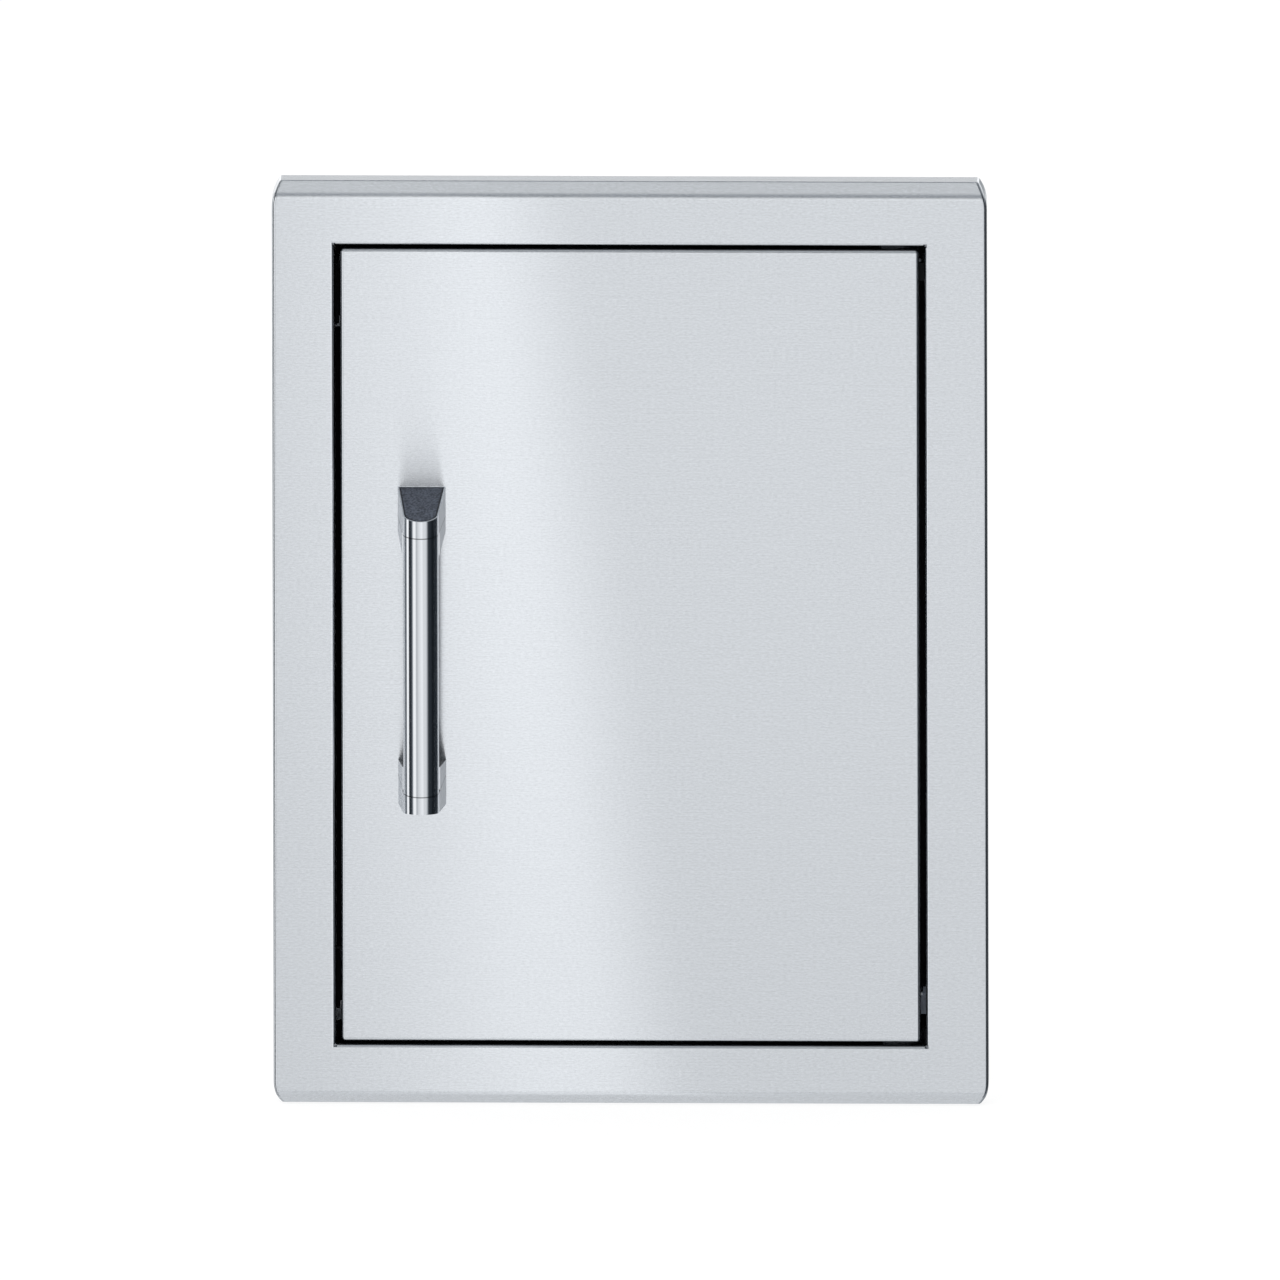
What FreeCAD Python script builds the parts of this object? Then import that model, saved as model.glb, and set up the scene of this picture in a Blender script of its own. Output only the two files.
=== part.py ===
import FreeCAD, Part
import math
import os

# Stainless access door for an outdoor kitchen island, in millimetres. Z is up, the front faces -Y,
# and the origin is the middle of the wall cut-out, on the wall face that the frame rests against.

# Frame, folded from one sheet and welded at its corners
FRAME_WIDTH = 508.0
FRAME_HEIGHT = 686.0
FRAME_PROUD = 21.0
FRAME_SHEET = 1.2
SIDE_BORDER = 44.4
END_BORDER = 45.6
JAMB_DEPTH = 50.0
EDGE_BEVEL = 8.3
BEVEL_BEND = 7.0
FRAME_BEND = 2.8
SHOULDER_RADIUS = 30.0
SHOULDER_HEIGHT = 18.0
WALL_LIP = 8.0
JAMB_LIP = 14.0
JAMB_LIP_CLEARANCE = 2.8
RELIEF_WIDTH = 1.8
RELIEF_REACH = 2.2
WELD_RADIUS = 4.5
WELD_LENGTH = 12.0
WELD_FROM_FACE = 7.0
FIXING_HOLE = 6.0
FIXING_FROM_END = 100.0
FIXING_DEPTH = 35.0

# Door, an outer skin with a liner nested in it
SIDE_GAP = 3.8
END_GAP = 2.6
DOOR_THICKNESS = 19.0
SKIN_SHEET = 1.0
SKIN_BEND = 2.8
LINER_SHEET = 0.8
LINER_FLANGE = 12.0
NEST_CLEARANCE = 0.1
STIFFENER_WIDTH = 42.0
STIFFENER_SHEET = 1.2
STIFFENER_END_GAP = 14.0

# Handle
HANDLE_FROM_EDGE = 57.9
HANDLE_LENGTH = 236.0
HANDLE_REACH = 56.0
TUBE_DIAMETER = 25.4
TUBE_WALL = 1.5
TUBE_LENGTH = 193.0
POST_WIDTH = 34.0
POST_HEIGHT = 33.0
POST_LEAN = 9.2
SADDLE_BLUNT = 5.0
SPIGOT_LENGTH = 14.0
SPIGOT_CLEARANCE = 0.1
SPIGOT_TIP = 1.0
RIM_WIDTH = 0.9
INSERT_THICKNESS = 1.6
INSERT_CLEARANCE = 0.05
HANDLE_SCREW = 6.0
HANDLE_SCREW_GRIP = 13.0
HANDLE_SCREW_HEAD = 10.0
HANDLE_SCREW_HEAD_HEIGHT = 3.6
HANDLE_SOCKET = 4.0
HANDLE_SOCKET_DEPTH = 2.16
HANDLE_WASHER = 14.0
HANDLE_WASHER_THICKNESS = 1.2
PLUG_HOLE = 16.0
PLUG_HEAD = 20.0
PLUG_HEAD_HEIGHT = 1.6
PLUG_STEM_LENGTH = 5.0
PLUG_STEM_WALL = 1.5

# Hinge on the right-hand side
PIVOT_FROM_EDGE = 7.6
PIVOT_DEPTH = 8.8
HINGE_FROM_END = 22.0
PIN_DIAMETER = 5.0
PIN_RUNNING_CLEARANCE = 0.05
PIN_SEAT_CLEARANCE = 0.02
PIN_HEAD = 8.0
PIN_HEAD_HEIGHT = 1.6
PIN_TAIL = 3.4
PIN_TIP = 0.5
PIN_GROOVE_DEPTH = 0.5
CLIP_THICKNESS = 0.8
CLIP_WIDTH = 8.4
CLIP_MOUTH_SHARE = 0.8
STRAP_SHEET = 2.5
STRAP_HEIGHT = 13.4
STRAP_BEHIND_DOOR = 1.0
STRAP_FOOT_CORNER = 4.0
ELBOW_SHARE = 0.9
THRUST_WASHER = 8.8
THRUST_WASHER_THICKNESS = 0.8
THRUST_GAP = 0.05
EAR_THICKNESS = 2.0
BRACKET_SHEET = 2.0
BRACKET_LENGTH = 34.0
BRACKET_HEIGHT = 37.0
NOTCH_CLEARANCE = 1.3
STRAP_SCREW = 4.0
STRAP_SCREW_HEAD = 8.0
STRAP_SCREW_HEAD_HEIGHT = 2.4
STRAP_SCREW_SPACING = 10.5
STRAP_SCREW_FROM_BACK = 6.0
NUT_PLATE_THICKNESS = 3.0
NUT_PLATE_MARGIN = 5.0

# Stops, catches, bumpers and seals
STOP_SHEET = 1.2
STOP_WIDTH = 12.0
STOP_CLEAR_OF_FIXING = 2.0
STOP_BEHIND_DOOR = 2.5
STOP_CLEAR_OF_HINGE = 31.0
LATCH_STOP_CLEARANCE = 2.5
BUMPER_DIAMETER = 7.4
BUMPER_FROM_CORNER = 88.0
CLOSED_GAP = 0.3
SEAL_THICKNESS = 2.0
HINGE_SEAL_WIDTH = 9.0
CATCH_FROM_END = 40.0
CATCH_WIDTH = 24.0
CATCH_HEIGHT = 32.0
CATCH_FOOT_HEIGHT = 44.0
CATCH_FOOT_THICKNESS = 2.8
CATCH_CORNER = 1.5
CATCH_SCREW = 3.2
CATCH_SCREW_HEAD = 6.4
CATCH_SCREW_HEAD_HEIGHT = 2.0
CATCH_SCREW_SPACING = 24.0
CATCH_SCREW_FROM_BACK = 6.0
CATCH_SCREW_TAIL = 2.2
CATCH_SCREW_ROOM = 1.8
MAGNET_WIDTH = 6.0
MAGNET_DEPTH = 9.0
MAGNET_HEIGHT = 25.0
POLE_THICKNESS = 1.4
POLE_PROUD = 0.5
POCKET_CLEARANCE = 0.1
MAGNET_FROM_JAMB = 16.5
STRIKE_SHEET = 1.0
STRIKE_WIDTH = 13.0
STRIKE_END_MARGIN = 1.8
STRIKE_CORNER = 2.0
RIVET_DIAMETER = 3.2
RIVET_HEAD = 5.6
RIVET_HEAD_HEIGHT = 0.9
RIVET_TAIL = 1.6
RIVET_TAIL_SPREAD = 1.3
RIVET_CLEAR_OF_CATCH = 1.0
RIVET_CLEARANCE = 0.05
THREAD_CLEARANCE = 0.03
SCREW_HOLE_CLEARANCE = 0.2

# Shares that shape the small heads and slots
PAN_HEAD_ROUNDING = 0.6
LOW_HEAD_ROUNDING = 0.7
BUMPER_ROUNDING = 1 / 3
SLOT_LENGTH_SHARE = 0.55
SLOT_ARM_SHARE = 0.2
SLOT_DEPTH_SHARE = 0.5

# Places that follow from the sizes above
FACE_Y = -FRAME_PROUD
OPENING_X = FRAME_WIDTH / 2 - SIDE_BORDER
OPENING_Z = FRAME_HEIGHT / 2 - END_BORDER
JAMB_BACK = FACE_Y + JAMB_DEPTH
DOOR_X = OPENING_X - SIDE_GAP
DOOR_Z = OPENING_Z - END_GAP
DOOR_BACK = FACE_Y + DOOR_THICKNESS
LINER_X = DOOR_X - SKIN_SHEET - NEST_CLEARANCE
LINER_Z = DOOR_Z - SKIN_SHEET - NEST_CLEARANCE
SKIN_INSIDE = FACE_Y + SKIN_SHEET
HANDLE_X = -DOOR_X + HANDLE_FROM_EDGE
TUBE_RADIUS = TUBE_DIAMETER / 2
TUBE_Y = FACE_Y - HANDLE_REACH + TUBE_RADIUS
LEAN = math.tan(math.radians(POST_LEAN))
HANDLE_SCREW_Z = HANDLE_LENGTH / 2 - POST_HEIGHT / 2
PIVOT_X = DOOR_X - PIVOT_FROM_EDGE
PIVOT_Y = FACE_Y + PIVOT_DEPTH
HINGE_Z = DOOR_Z - HINGE_FROM_END
PIN_RADIUS = PIN_DIAMETER / 2
KNUCKLE_RADIUS = PIN_RADIUS + PIN_RUNNING_CLEARANCE + STRAP_SHEET
STRAP_FRONT = DOOR_BACK + STRAP_BEHIND_DOOR
FITTINGS_BACK = JAMB_BACK - FRAME_SHEET - JAMB_LIP_CLEARANCE
STRAP_REAR_SCREW_Y = FITTINGS_BACK - STRAP_SCREW_FROM_BACK
STRAP_FRONT_SCREW_Y = STRAP_REAR_SCREW_Y - STRAP_SCREW_SPACING
EAR_INNER = STRAP_HEIGHT / 2 + THRUST_GAP + THRUST_WASHER_THICKNESS
EAR_OUTER = EAR_INNER + EAR_THICKNESS
EAR_REACH = PIVOT_FROM_EDGE - SKIN_SHEET - NEST_CLEARANCE - LINER_SHEET - CLOSED_GAP
NOTCH_HALF = STRAP_HEIGHT / 2 + NOTCH_CLEARANCE
NOTCH_LEFT = PIVOT_X - KNUCKLE_RADIUS - NOTCH_CLEARANCE
STOP_FRONT = DOOR_BACK + STOP_BEHIND_DOOR
STOP_BACK = FACE_Y + FIXING_DEPTH - FIXING_HOLE / 2 - STOP_CLEAR_OF_FIXING
CATCH_Z = DOOR_Z - CATCH_FROM_END
LATCH_STOP_REACH = CATCH_Z - CATCH_FOOT_HEIGHT / 2 - LATCH_STOP_CLEARANCE
POLE_FRONT = DOOR_BACK + STRIKE_SHEET + CLOSED_GAP
CATCH_FRONT = POLE_FRONT + POLE_PROUD
MAGNET_X = -OPENING_X + MAGNET_FROM_JAMB
CATCH_SCREW_Y = FITTINGS_BACK - CATCH_SCREW_FROM_BACK
CATCH_BACK = CATCH_SCREW_Y - CATCH_SCREW_HEAD / 2 - CATCH_SCREW_ROOM
RIVET_SPACING = CATCH_HEIGHT + RIVET_HEAD + 2 * RIVET_CLEAR_OF_CATCH
STRIKE_HEIGHT = RIVET_SPACING + RIVET_HEAD + 2 * STRIKE_END_MARGIN
UPPER_AND_LOWER = {"upper": 1, "lower": -1}


def vector(x, y, z):
    return FreeCAD.Vector(x, y, z)


def block(x, y, z):
    """A block between a pair of limits on each axis."""
    size = [max(pair) - min(pair) for pair in (x, y, z)]
    return Part.makeBox(*size, vector(min(x), min(y), min(z)))


def rod(start, direction, diameter, length):
    return Part.makeCylinder(diameter / 2, length, vector(*start), vector(*direction))


def ring(start, direction, outer, inner, length):
    return rod(start, direction, outer, length).cut(rod(start, direction, inner, length))


def prism(points, sweep):
    """A straight prism: the outline through the points, carried along the sweep."""
    outline = [vector(*point) for point in points]
    return Part.Face(Part.makePolygon(outline + outline[:1])).extrude(vector(*sweep))


def edges_of(shape, wanted):
    return [edge for edge in shape.Edges if wanted(edge.BoundBox)]


def close(a, b):
    return abs(a - b) < 1e-4


def runs_along_y(box):
    return close(box.XLength, 0) and close(box.ZLength, 0)


def merge(shapes):
    """One solid from overlapping or touching shapes."""
    shapes = list(shapes)
    return shapes[0].multiFuse(shapes[1:]).removeSplitter()


def group(shapes):
    return Part.makeCompound(list(shapes))


def mirror_in_height(shape, side):
    """The shape itself for the upper side, or its mirror image below the middle."""
    if side > 0:
        return shape
    return shape.mirror(vector(0, 0, 0), vector(0, 0, 1))


def save(name, shape):
    shape.exportStep("parts/" + name + ".step")


# Frame

def frame_outline(half_width, half_height, radius, height, y):
    """Straight sides that curve in over the last stretch before each end."""
    start = half_height - height
    centre = half_width - radius
    end = centre + math.sqrt(radius ** 2 - height ** 2)
    half_turn = math.asin(height / radius) / 2
    middle = (centre + radius * math.cos(half_turn), start + radius * math.sin(half_turn))
    curves = []
    for side in (1, -1):
        edge_x = side * half_width
        edge_z = side * half_height
        curves.append(Part.LineSegment(vector(edge_x, y, -start), vector(edge_x, y, start)))
        curves.append(Part.LineSegment(vector(-end, y, edge_z), vector(end, y, edge_z)))
        for hand in (1, -1):
            curves.append(Part.Arc(vector(hand * half_width, y, side * start),
                                   vector(hand * middle[0], y, side * middle[1]),
                                   vector(hand * end, y, edge_z)))
    return Part.Wire(Part.__sortEdges__([curve.toShape() for curve in curves]))


def frame_blank(inset, back):
    """A solid blank of the frame with its bevels and bends: the outside, or the inside by an inset."""
    half_width = FRAME_WIDTH / 2 - inset
    half_height = FRAME_HEIGHT / 2 - inset
    front = FACE_Y + inset
    bevel = EDGE_BEVEL - inset * (2 - math.sqrt(2))
    shoulder = SHOULDER_HEIGHT - inset
    outline = frame_outline(half_width, half_height, SHOULDER_RADIUS - inset, shoulder, front)
    blank = Part.Face(outline).extrude(vector(0, back - front, 0))
    for side in (1, -1):
        end = side * half_height
        corner = [(-half_width, front, end), (-half_width, front, end - side * bevel),
                  (-half_width, front + bevel, end)]
        blank = blank.cut(prism(corner, (2 * half_width, 0, 0)))

    def bend_across(y):
        return edges_of(blank, lambda box: box.XLength > half_width and close(box.YMin, y)
                        and close(box.YMax, y))

    def on_a_side(box):
        seam = runs_along_y(box) and close(abs(box.ZMin), half_height - shoulder)
        return box.XLength < half_width and box.YMin < back - 0.01 and not seam

    blank = blank.makeFillet(BEVEL_BEND - inset, bend_across(front))
    blank = blank.makeFillet(FRAME_BEND - inset, bend_across(front + bevel))
    return blank.makeFillet(FRAME_BEND - inset, edges_of(blank, on_a_side))


def frame_tray():
    """The face with its bevels and returns, hollow behind, with a lip that rests on the wall."""
    window_x = FRAME_WIDTH / 2 - FRAME_SHEET - WALL_LIP
    window_z = FRAME_HEIGHT / 2 - FRAME_SHEET - WALL_LIP
    window = block((-window_x, window_x), (-FRAME_SHEET, 0), (-window_z, window_z))
    return frame_blank(0, 0).cut(frame_blank(FRAME_SHEET, -FRAME_SHEET)).cut(window)


def corner_relief(side_x, side_z):
    """The slit at an opening corner that let both jambs be folded there."""
    turn = math.degrees(math.atan2(side_z, side_x))
    slit = block((0, RELIEF_REACH - RELIEF_WIDTH / 2), (0, FRAME_BEND),
                 (-RELIEF_WIDTH / 2, RELIEF_WIDTH / 2))
    end = rod((RELIEF_REACH - RELIEF_WIDTH / 2, 0, 0), (0, 1, 0), RELIEF_WIDTH, FRAME_BEND)
    slit = slit.fuse(end)
    slit.rotate(vector(0, 0, 0), vector(0, 1, 0), -turn)
    slit.translate(vector(side_x * OPENING_X, FACE_Y, side_z * OPENING_Z))
    return slit


def corner_weld(side_x, side_z):
    """The weld bead that closes the corner between two jambs, behind the slit."""
    start = (side_x * OPENING_X, FACE_Y + WELD_FROM_FACE, side_z * OPENING_Z)
    bead = rod(start, (0, 1, 0), 2 * WELD_RADIUS, WELD_LENGTH)
    doorway = block((-OPENING_X, OPENING_X), (FACE_Y, JAMB_BACK), (-OPENING_Z, OPENING_Z))
    return bead.cut(doorway)


def fixing_points():
    """Where the screws go that hold the frame to the island, on the left and right jambs."""
    height = OPENING_Z - FIXING_FROM_END
    return [(side_x, FACE_Y + FIXING_DEPTH, side_z * height) for side_x in (1, -1) for side_z in (1, -1)]


def jamb_holes():
    """All holes through the two side jambs: fixings, hinge screws and catch screws."""
    start = OPENING_X - FRAME_SHEET
    length = 3 * FRAME_SHEET
    holes = [rod((side * start, y, z), (side, 0, 0), FIXING_HOLE, length)
             for side, y, z in fixing_points()]
    for hinge in (1, -1):
        for y in (STRAP_FRONT_SCREW_Y, STRAP_REAR_SCREW_Y):
            size = STRAP_SCREW + 2 * SCREW_HOLE_CLEARANCE
            holes.append(rod((start, y, hinge * HINGE_Z), (1, 0, 0), size, length))
        for side in (1, -1):
            z = hinge * CATCH_Z + side * CATCH_SCREW_SPACING / 2
            size = CATCH_SCREW + 2 * THREAD_CLEARANCE
            holes.append(rod((-start, CATCH_SCREW_Y, z), (-1, 0, 0), size, length))
    return holes


def face_frame():
    outer_x = OPENING_X + FRAME_SHEET
    outer_z = OPENING_Z + FRAME_SHEET
    jambs = block((-outer_x, outer_x), (FACE_Y, JAMB_BACK), (-outer_z, outer_z))
    opening = block((-OPENING_X, OPENING_X), (FACE_Y, JAMB_BACK - FRAME_SHEET), (-OPENING_Z, OPENING_Z))
    lip_x = OPENING_X - JAMB_LIP
    lip_z = OPENING_Z - JAMB_LIP
    doorway = block((-lip_x, lip_x), (FACE_Y, JAMB_BACK), (-lip_z, lip_z))
    frame = frame_tray().fuse(jambs).cut(opening).cut(doorway).removeSplitter()

    def opening_edge(box):
        on_side = close(box.XLength, 0) and close(abs(box.XMin), OPENING_X) and box.ZLength > OPENING_Z
        on_end = close(box.ZLength, 0) and close(abs(box.ZMin), OPENING_Z) and box.XLength > OPENING_X
        return close(box.YMax, FACE_Y) and (on_side or on_end)

    def behind_the_bend(box):
        on_side = close(box.XLength, 0) and close(abs(box.XMin), outer_x) and box.ZLength > OPENING_Z
        on_end = close(box.ZLength, 0) and close(abs(box.ZMin), outer_z) and box.XLength > OPENING_X
        return close(box.YMin, FACE_Y + FRAME_SHEET) and close(box.YLength, 0) and (on_side or on_end)

    frame = frame.makeFillet(FRAME_BEND - FRAME_SHEET, edges_of(frame, behind_the_bend))
    frame = frame.makeFillet(FRAME_BEND, edges_of(frame, opening_edge))
    corners = [(side_x, side_z) for side_x in (1, -1) for side_z in (1, -1)]
    frame = frame.cut(group(corner_relief(*corner) for corner in corners))
    frame = merge([frame] + [corner_weld(*corner) for corner in corners])
    return frame.cut(group(jamb_holes()))


# Stops

def stop_angle(start, end, across):
    """An angle along one jamb: start and end are where it runs, across maps (in, along) to x, z."""
    outline = [(0, STOP_FRONT), (STOP_WIDTH, STOP_FRONT), (STOP_WIDTH, STOP_FRONT + STOP_SHEET),
               (STOP_SHEET, STOP_FRONT + STOP_SHEET), (STOP_SHEET, STOP_BACK), (0, STOP_BACK)]
    points = []
    for inward, y in outline:
        x, z = across(inward, start)
        points.append((x, y, z))
    x, z = across(0, end - start)
    first_x, first_z = across(0, 0)
    return prism(points, (x - first_x, 0, z - first_z))


def end_stop(side):
    left = -OPENING_X + NEST_CLEARANCE
    right = OPENING_X - STOP_CLEAR_OF_HINGE
    return stop_angle(left, right, lambda inward, along: (along, side * (OPENING_Z - inward)))


def latch_stop():
    return stop_angle(-LATCH_STOP_REACH, LATCH_STOP_REACH,
                      lambda inward, along: (-OPENING_X + inward, along))


def bumper_points():
    """Two bumpers on the latch-side stop, and one each on the top and bottom stops."""
    inset = (STOP_WIDTH + SIDE_GAP) / 2
    on_latch = [(-OPENING_X + inset, side * (OPENING_Z - BUMPER_FROM_CORNER)) for side in (1, -1)]
    inset = (STOP_WIDTH + END_GAP) / 2
    on_ends = [(-OPENING_X + BUMPER_FROM_CORNER, side * (OPENING_Z - inset)) for side in (1, -1)]
    return on_latch + on_ends


def bumpers():
    """Soft domed buttons that the closed door rests against."""
    height = STOP_BEHIND_DOOR - CLOSED_GAP
    buttons = []
    for x, z in bumper_points():
        button = rod((x, STOP_FRONT, z), (0, -1, 0), BUMPER_DIAMETER, height)
        rim = edges_of(button, lambda box: close(box.YMax, STOP_FRONT - height))
        buttons.append(button.makeFillet(height * BUMPER_ROUNDING, rim))
    return group(buttons)


# Seals

def seal_width(gap):
    """As wide as fits between the jamb and the bumpers: it closes the gap from behind."""
    return (STOP_WIDTH + gap - BUMPER_DIAMETER) / 2 - 2 * NEST_CLEARANCE


def end_seal(side):
    """Foam along the top or bottom stop, just behind the closed door, with a tab at the latch side."""
    left = -OPENING_X + NEST_CLEARANCE
    right = OPENING_X - STOP_CLEAR_OF_HINGE
    outer = OPENING_Z - NEST_CLEARANCE
    inner = OPENING_Z - STOP_WIDTH
    depths = (STOP_FRONT - SEAL_THICKNESS, STOP_FRONT)
    strip = block((left, right), depths, (side * outer, side * (outer - seal_width(END_GAP))))
    tab = block((left, left + seal_width(SIDE_GAP)), depths, (side * outer, side * inner))
    return merge([strip, tab])


def latch_seal():
    left = -OPENING_X + NEST_CLEARANCE
    return block((left, left + seal_width(SIDE_GAP)), (STOP_FRONT - SEAL_THICKNESS, STOP_FRONT),
                 (-LATCH_STOP_REACH, LATCH_STOP_REACH))


def hinge_seal():
    """A foam strip on the jamb's lip, behind the hinges."""
    right = OPENING_X - NEST_CLEARANCE
    lip = JAMB_BACK - FRAME_SHEET
    reach = OPENING_Z - NEST_CLEARANCE
    return block((right - HINGE_SEAL_WIDTH, right), (lip - SEAL_THICKNESS, lip), (-reach, reach))


# Magnetic catches

def catch_housing(side):
    jamb = -OPENING_X
    middle = side * CATCH_Z
    foot = block((jamb, jamb + CATCH_FOOT_THICKNESS), (CATCH_FRONT, FITTINGS_BACK),
                 (middle - CATCH_FOOT_HEIGHT / 2, middle + CATCH_FOOT_HEIGHT / 2))
    body = block((jamb, jamb + CATCH_WIDTH), (CATCH_FRONT, CATCH_BACK),
                 (middle - CATCH_HEIGHT / 2, middle + CATCH_HEIGHT / 2))
    upright = edges_of(body, lambda box: close(box.XMin, jamb + CATCH_WIDTH) and box.YLength < 1)
    body = body.makeFillet(CATCH_CORNER, upright)
    pocket_x = MAGNET_WIDTH / 2 + POLE_THICKNESS + POCKET_CLEARANCE
    pocket_z = MAGNET_HEIGHT / 2 + POCKET_CLEARANCE
    pocket = block((MAGNET_X - pocket_x, MAGNET_X + pocket_x),
                   (CATCH_FRONT, CATCH_FRONT + MAGNET_DEPTH),
                   (middle - pocket_z, middle + pocket_z))
    housing = foot.fuse(body).cut(pocket)
    for offset in (1, -1):
        z = middle + offset * CATCH_SCREW_SPACING / 2
        size = CATCH_SCREW + 2 * SCREW_HOLE_CLEARANCE
        housing = housing.cut(rod((jamb, CATCH_SCREW_Y, z), (1, 0, 0), size, CATCH_FOOT_THICKNESS))
    return housing.removeSplitter()


def catch_magnet(side):
    middle = side * CATCH_Z
    return block((MAGNET_X - MAGNET_WIDTH / 2, MAGNET_X + MAGNET_WIDTH / 2),
                 (CATCH_FRONT, CATCH_FRONT + MAGNET_DEPTH),
                 (middle - MAGNET_HEIGHT / 2, middle + MAGNET_HEIGHT / 2))


def pole_plates(side):
    """Two steel plates beside the magnet, which reach past it to the strike."""
    middle = side * CATCH_Z
    inner = MAGNET_WIDTH / 2
    return group(block((MAGNET_X + hand * inner, MAGNET_X + hand * (inner + POLE_THICKNESS)),
                       (POLE_FRONT, CATCH_FRONT + MAGNET_DEPTH),
                       (middle - MAGNET_HEIGHT / 2, middle + MAGNET_HEIGHT / 2)) for hand in (1, -1))


def cross_slot(start, direction, width, depth):
    """The cross recess in a screw head whose axis is X."""
    half = width / 2
    arm = width * SLOT_ARM_SHARE
    x, y, z = start
    reach = (x, x + direction * depth)
    across = block(reach, (y - half, y + half), (z - arm / 2, z + arm / 2))
    upright = block(reach, (y - arm / 2, y + arm / 2), (z - half, z + half))
    return across.fuse(upright)


def pan_screw(seat, direction, shank, length, head, head_height):
    """A pan-head screw along X: seat is under its head, direction is the way its shank points."""
    x, y, z = seat
    top = rod(seat, (-direction, 0, 0), head, head_height)
    outer = x - direction * head_height
    rim = edges_of(top, lambda box: close(box.XMin, outer) and close(box.XMax, outer))
    top = top.makeFillet(head_height * PAN_HEAD_ROUNDING, rim)
    top = top.cut(cross_slot((outer, y, z), direction, head * SLOT_LENGTH_SHARE,
                             head_height * SLOT_DEPTH_SHARE))
    return top.fuse(rod(seat, (direction, 0, 0), shank, length)).removeSplitter()


def catch_screws():
    seat = -OPENING_X + CATCH_FOOT_THICKNESS
    length = CATCH_FOOT_THICKNESS + FRAME_SHEET + CATCH_SCREW_TAIL
    return group(pan_screw((seat, CATCH_SCREW_Y, side * CATCH_Z + offset * CATCH_SCREW_SPACING / 2), -1,
                           CATCH_SCREW, length, CATCH_SCREW_HEAD, CATCH_SCREW_HEAD_HEIGHT)
                 for side in (1, -1) for offset in (1, -1))


# Hinge, the half that stays on the frame

def hinge_strap(side):
    """Folded strap: rolled knuckle, a plate through the notch, one behind the door, and its foot."""
    middle = side * HINGE_Z
    low = middle - STRAP_HEIGHT / 2
    levels = (low, low + STRAP_HEIGHT)
    back = STRAP_FRONT + STRAP_SHEET
    left = PIVOT_X - KNUCKLE_RADIUS
    knuckle = rod((PIVOT_X, PIVOT_Y, low), (0, 0, 1), 2 * KNUCKLE_RADIUS, STRAP_HEIGHT)
    neck = block((left, left + STRAP_SHEET), (PIVOT_Y, back), levels)
    behind = block((left, OPENING_X), (STRAP_FRONT, back), levels)
    foot = block((OPENING_X - STRAP_SHEET, OPENING_X), (back, FITTINGS_BACK), levels)
    corners = edges_of(foot, lambda box: box.XLength > 1 and close(box.YMin, FITTINGS_BACK))
    foot = foot.makeFillet(STRAP_FOOT_CORNER, corners)
    strap = merge([knuckle, neck, behind, foot])
    elbow = edges_of(strap, lambda box: close(box.XMax, left) and close(box.YMin, back))
    strap = strap.makeFillet(STRAP_SHEET * ELBOW_SHARE, elbow)
    bore = PIN_DIAMETER + 2 * PIN_RUNNING_CLEARANCE
    strap = strap.cut(rod((PIVOT_X, PIVOT_Y, low), (0, 0, 1), bore, STRAP_HEIGHT))
    for y in (STRAP_FRONT_SCREW_Y, STRAP_REAR_SCREW_Y):
        size = STRAP_SCREW + 2 * SCREW_HOLE_CLEARANCE
        start = (OPENING_X - STRAP_SHEET, y, middle)
        strap = strap.cut(rod(start, (1, 0, 0), size, STRAP_SHEET))
    return strap


def hinge_nut_plate(side):
    """The tapped plate behind the jamb that the strap's two screws turn into."""
    middle = side * HINGE_Z
    inner = OPENING_X + FRAME_SHEET
    plate = block((inner, inner + NUT_PLATE_THICKNESS),
                  (STRAP_FRONT_SCREW_Y - NUT_PLATE_MARGIN, STRAP_REAR_SCREW_Y + NUT_PLATE_MARGIN),
                  (middle - STRAP_HEIGHT / 2, middle + STRAP_HEIGHT / 2))
    for y in (STRAP_FRONT_SCREW_Y, STRAP_REAR_SCREW_Y):
        size = STRAP_SCREW + 2 * THREAD_CLEARANCE
        plate = plate.cut(rod((inner, y, middle), (1, 0, 0), size, NUT_PLATE_THICKNESS))
    return plate


def strap_screws():
    length = STRAP_SHEET + FRAME_SHEET + NUT_PLATE_THICKNESS
    return group(pan_screw((OPENING_X - STRAP_SHEET, y, side * HINGE_Z), 1, STRAP_SCREW, length,
                           STRAP_SCREW_HEAD, STRAP_SCREW_HEAD_HEIGHT)
                 for side in (1, -1) for y in (STRAP_FRONT_SCREW_Y, STRAP_REAR_SCREW_Y))


# Hinge, the half that moves with the door

def hinge_bracket(side):
    """A plate welded inside the skin, with two ears that hold the pin above and below the strap."""
    middle = side * HINGE_Z
    right = DOOR_X - SKIN_BEND
    base = block((right - BRACKET_LENGTH, right), (SKIN_INSIDE, SKIN_INSIDE + BRACKET_SHEET),
                 (middle - BRACKET_HEIGHT / 2, middle + BRACKET_HEIGHT / 2))
    pieces = [base]
    for hand in (1, -1):
        levels = (middle + hand * EAR_INNER, middle + hand * EAR_OUTER)
        pieces.append(block((PIVOT_X - EAR_REACH, right), (SKIN_INSIDE, PIVOT_Y), levels))
        pieces.append(rod((PIVOT_X, PIVOT_Y, min(levels)), (0, 0, 1), 2 * EAR_REACH, EAR_THICKNESS))
    bracket = merge(pieces)
    hole = PIN_DIAMETER + 2 * PIN_SEAT_CLEARANCE
    return bracket.cut(rod((PIVOT_X, PIVOT_Y, middle - EAR_OUTER), (0, 0, 1), hole, 2 * EAR_OUTER))


def clip_level(side):
    """The height of the groove for the clip, just under the lower ear."""
    return side * HINGE_Z - EAR_OUTER - CLIP_THICKNESS


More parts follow.
